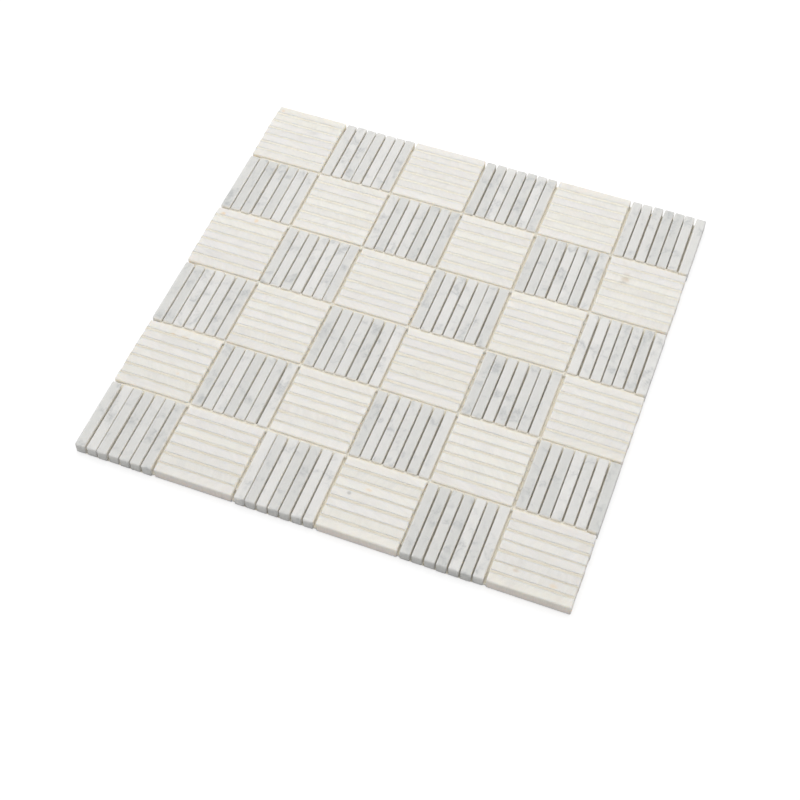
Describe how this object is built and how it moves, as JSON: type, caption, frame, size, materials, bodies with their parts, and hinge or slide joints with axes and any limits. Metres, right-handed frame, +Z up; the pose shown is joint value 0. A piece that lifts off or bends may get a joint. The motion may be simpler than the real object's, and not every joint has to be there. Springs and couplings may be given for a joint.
{
  "type": "basket-weave marble mosaic tile sheet",
  "caption": "Square mosaic tile sheet of cream and grey marble sticks in a basket weave, bonded side by side on a thin backing mesh, for facing floors and walls.",
  "frame": {"origin": "middle of the sheet, on the plane of the backing mesh's underside", "axes": "+Z up through the sheet to its honed face; +X along the rows and the cream sticks; +Y to the far row, along the grey sticks"},
  "size_m": [0.3037, 0.3038, 0.008],
  "materials": {
    "cream_marble": "honed cream-white marble",
    "grey_marble": "honed light grey marble with soft veins",
    "mesh_yarn": "resin-stiffened glass-fibre yarn"
  },
  "bodies": {
    "root": {"cream_sticks_r1_c1": "cream_marble", "grey_sticks_r1_c2": "grey_marble", "cream_sticks_r1_c3": "cream_marble", "grey_sticks_r1_c4": "grey_marble", "cream_sticks_r1_c5": "cream_marble", "grey_sticks_r1_c6": "grey_marble", "grey_sticks_r2_c1": "grey_marble", "cream_sticks_r2_c2": "cream_marble", "grey_sticks_r2_c3": "grey_marble", "cream_sticks_r2_c4": "cream_marble", "grey_sticks_r2_c5": "grey_marble", "cream_sticks_r2_c6": "cream_marble", "cream_sticks_r3_c1": "cream_marble", "grey_sticks_r3_c2": "grey_marble", "cream_sticks_r3_c3": "cream_marble", "grey_sticks_r3_c4": "grey_marble", "cream_sticks_r3_c5": "cream_marble", "grey_sticks_r3_c6": "grey_marble", "grey_sticks_r4_c1": "grey_marble", "cream_sticks_r4_c2": "cream_marble", "grey_sticks_r4_c3": "grey_marble", "cream_sticks_r4_c4": "cream_marble", "grey_sticks_r4_c5": "grey_marble", "cream_sticks_r4_c6": "cream_marble", "cream_sticks_r5_c1": "cream_marble", "grey_sticks_r5_c2": "grey_marble", "cream_sticks_r5_c3": "cream_marble", "grey_sticks_r5_c4": "grey_marble", "cream_sticks_r5_c5": "cream_marble", "grey_sticks_r5_c6": "grey_marble", "grey_sticks_r6_c1": "grey_marble", "cream_sticks_r6_c2": "cream_marble", "grey_sticks_r6_c3": "grey_marble", "cream_sticks_r6_c4": "cream_marble", "grey_sticks_r6_c5": "grey_marble", "cream_sticks_r6_c6": "cream_marble", "mesh_warp": "mesh_yarn", "mesh_weft": "mesh_yarn"}
  },
  "joints": []
}
